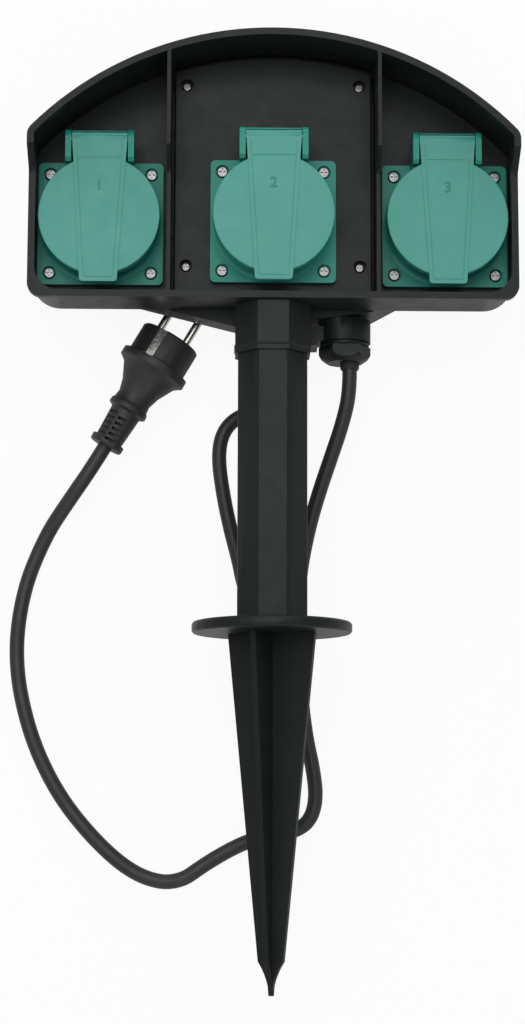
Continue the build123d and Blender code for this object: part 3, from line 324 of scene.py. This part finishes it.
PLASTICS = {
    "black_plastic": dict(dark=(0.0082, 0.0108, 0.011), light=(0.0122, 0.0152, 0.0156), rough=(0.34, 0.46),
                          specular=0.2),
    # The green parts and the lids are one plastic drawn as two copies: green_plastic is made darker and
    # more saturated as painted shade, for the shade the flanges get under the lids, and the lids' green is
    # the lit copy.
    "green_plastic": dict(dark=(0.012, 0.243, 0.178), light=(0.018, 0.272, 0.203), rough=(0.3, 0.42),
                          grain=0.0004, depth=0.00002, specular=0.25),
    "lit_green_lid": dict(dark=(0.036, 0.286, 0.228), light=(0.047, 0.318, 0.26), rough=(0.42, 0.55),
                      grain=0.0004, depth=0.00003, specular=0.6),
    "insert_plastic": dict(dark=(0.012, 0.012, 0.013), light=(0.018, 0.018, 0.02), rough=(0.4, 0.55)),
    "seal_rubber": dict(dark=(0.01, 0.01, 0.01), light=(0.018, 0.018, 0.018), rough=(0.65, 0.8)),
    "cord_rubber": dict(dark=(0.011, 0.012, 0.013), light=(0.017, 0.018, 0.0195), rough=(0.42, 0.56),
                        grain=0.0007, depth=0.00004),
    "plug_rubber": dict(dark=(0.012, 0.012, 0.0125), light=(0.018, 0.018, 0.019), rough=(0.45, 0.6),
                        grain=0.0006, depth=0.00004),
    "wire_brown": dict(dark=(0.12, 0.045, 0.018), light=(0.16, 0.06, 0.024), rough=(0.4, 0.5)),
    "wire_blue": dict(dark=(0.02, 0.09, 0.35), light=(0.03, 0.12, 0.42), rough=(0.4, 0.5)),
}
METALS = {
    "screw_steel": dict(first=(0.25, 0.252, 0.25), second=(0.19, 0.192, 0.19), rough=(0.24, 0.36)),
    "spring_steel": dict(first=(0.6, 0.6, 0.58), second=(0.48, 0.48, 0.47), rough=(0.25, 0.4)),
    "contact_brass": dict(first=(0.78, 0.58, 0.26), second=(0.68, 0.5, 0.22), rough=(0.2, 0.38)),
    "plated_metal": dict(first=(0.78, 0.76, 0.7), second=(0.68, 0.66, 0.61), rough=(0.12, 0.26)),
}


def make_materials():
    materials = {name: moulded(name, **look) for name, look in PLASTICS.items()}
    materials.update((name, metal(name, **look)) for name, look in METALS.items())
    materials["wire_green_yellow"] = striped_wire()
    return materials


# The frame's own pieces

def soften(node, width):
    """Small rounded edges, as on any moulding."""
    weld = node.modifiers.new("join", "WELD")
    weld.merge_threshold = WELD_GAP
    bevel = node.modifiers.new("edges", "BEVEL")
    bevel.width = width
    bevel.segments = 2
    bevel.limit_method = "ANGLE"
    bevel.angle_limit = radians(SOFT_FROM_ANGLE)
    bevel.harden_normals = True
    bevel.miter_outer = "MITER_ARC"


def dress_nodes(materials):
    looks = {part["node"]: part["material_slot"] for part in frame["record"]["subparts"]}
    # The lids take the lit copy of the green; the other green parts keep the darker copy, whose darkness
    # is painted shade.
    looks.update((lid, "lit_green_lid") for lid in LIDS)
    for name, node in NODES.items():
        node.data.materials.clear()
        node.data.materials.append(materials[looks[name]])
    for name, width in SOFT_EDGES.items():
        soften(NODES[name], width)
    for side in SIDES:
        for part, width in SOFT_SOCKET_EDGES.items():
            soften(NODES[f"{side}_{part}"], width)


# A plain numeral on each lid, in the place of the lid's own marks, drawn in the darker green, whose
# darkness is painted shade for the shade of the lid's moulded marks

def make_numerals(material):
    for number, side in enumerate(SIDES, 1):
        lid_low, lid_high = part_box(f"{side}_lid")
        curve = bpy.data.curves.new(f"{side}_lid_number", "FONT")
        curve.body = str(number)
        curve.size = NUMERAL_SIZE
        curve.extrude = NUMERAL_RISE
        curve.bevel_depth = NUMERAL_BEVEL
        curve.align_x = "CENTER"
        curve.align_y = "CENTER"
        numeral = add_to_scene(f"{side}_lid_number", curve)
        middle = (lid_low[0] + lid_high[0]) / 2
        numeral.location = (middle, MIDDLE_Y + NUMERAL_Y, lid_high[2] - BARREL_OVER_TONGUE)
        curve.materials.append(material)
        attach(numeral, f"{side}_lid_body")


# Floor and light

def seen_share(tree):
    """1 for what the camera sees itself, MIRROR_SHARE for what it sees mirrored, and 0 for light."""
    path = tree.nodes.new("ShaderNodeLightPath")
    mirrored = tree.nodes.new("ShaderNodeMath")
    mirrored.operation = "ADD"
    tree.links.new(path.outputs["Is Glossy Ray"], mirrored.inputs[0])
    tree.links.new(path.outputs["Is Transmission Ray"], mirrored.inputs[1])
    seen = tree.nodes.new("ShaderNodeMath")
    seen.operation = "MULTIPLY_ADD"
    tree.links.new(mirrored.outputs["Value"], seen.inputs[0])
    seen.inputs[1].default_value = MIRROR_SHARE
    tree.links.new(path.outputs["Is Camera Ray"], seen.inputs[2])
    return seen.outputs["Value"]


def make_floor():
    mesh = bpy.data.meshes.new("floor")
    corners = [(x * FLOOR_REACH, y * FLOOR_REACH, 0) for x, y in ((-1, -1), (1, -1), (1, 1), (-1, 1))]
    mesh.from_pydata(corners, [], [(0, 1, 2, 3)])
    add_to_scene("floor", mesh)
    shader = Shader("floor")
    patches = shader.spread(shader.noise(FLOOR_PATCH), 0.0, 1.0)
    shader.colour(shader.mix(patches, (0.86, 0.86, 0.86), (0.89, 0.89, 0.89)))
    shader.surface.inputs["Roughness"].default_value = 0.9
    shader.surface.inputs["Specular IOR Level"].default_value = 0.0
    part = shader.spread(seen_share(shader.tree), 0.0, FLOOR_GLOW, 0.0, 1.0)
    glow = shader.add("ShaderNodeEmission")
    glow.inputs["Color"].default_value = (1.0, 1.0, 1.0, 1.0)
    glow.inputs["Strength"].default_value = 1.0
    blend = shader.add("ShaderNodeMixShader")
    shader.link(part, blend.inputs["Fac"])
    shader.link(shader.surface.outputs["BSDF"], blend.inputs[1])
    shader.link(glow.outputs["Emission"], blend.inputs[2])
    shader.link(blend.outputs["Shader"], shader.tree.nodes["Material Output"].inputs["Surface"])
    mesh.materials.append(shader.material)


def make_world():
    world = bpy.data.worlds.new("studio")
    bpy.context.scene.world = world
    world.use_nodes = True
    tree = world.node_tree
    sky = tree.nodes["Background"]
    sky.inputs["Color"].default_value = (1.0, 1.0, 1.0, 1.0)
    strength = tree.nodes.new("ShaderNodeMapRange")
    strength.inputs["To Min"].default_value = WORLD_LIGHT
    strength.inputs["To Max"].default_value = WORLD_SEEN
    tree.links.new(seen_share(tree), strength.inputs["Value"])
    tree.links.new(strength.outputs["Result"], sky.inputs["Strength"])


def make_lamps():
    for name, (place, aim, size, watts) in LAMPS.items():
        lamp = bpy.data.lights.new(name, "AREA")
        lamp.shape = "RECTANGLE"
        lamp.size, lamp.size_y = size
        lamp.energy = watts
        hung = add_to_scene(name, lamp)
        hung.location = at(*place)
        hung.rotation_euler = (at(*aim) - at(*place)).to_track_quat("-Z", "Y").to_euler()


def main():
    make_camera()
    materials = make_materials()
    make_cord(materials["cord_rubber"])
    dress_nodes(materials)
    # The numerals take the darker green, as painted shade of the lid's moulded marks.
    make_numerals(materials["green_plastic"])
    make_floor()
    make_world()
    make_lamps()
    bpy.context.scene.view_settings.view_transform = "Standard"


main()
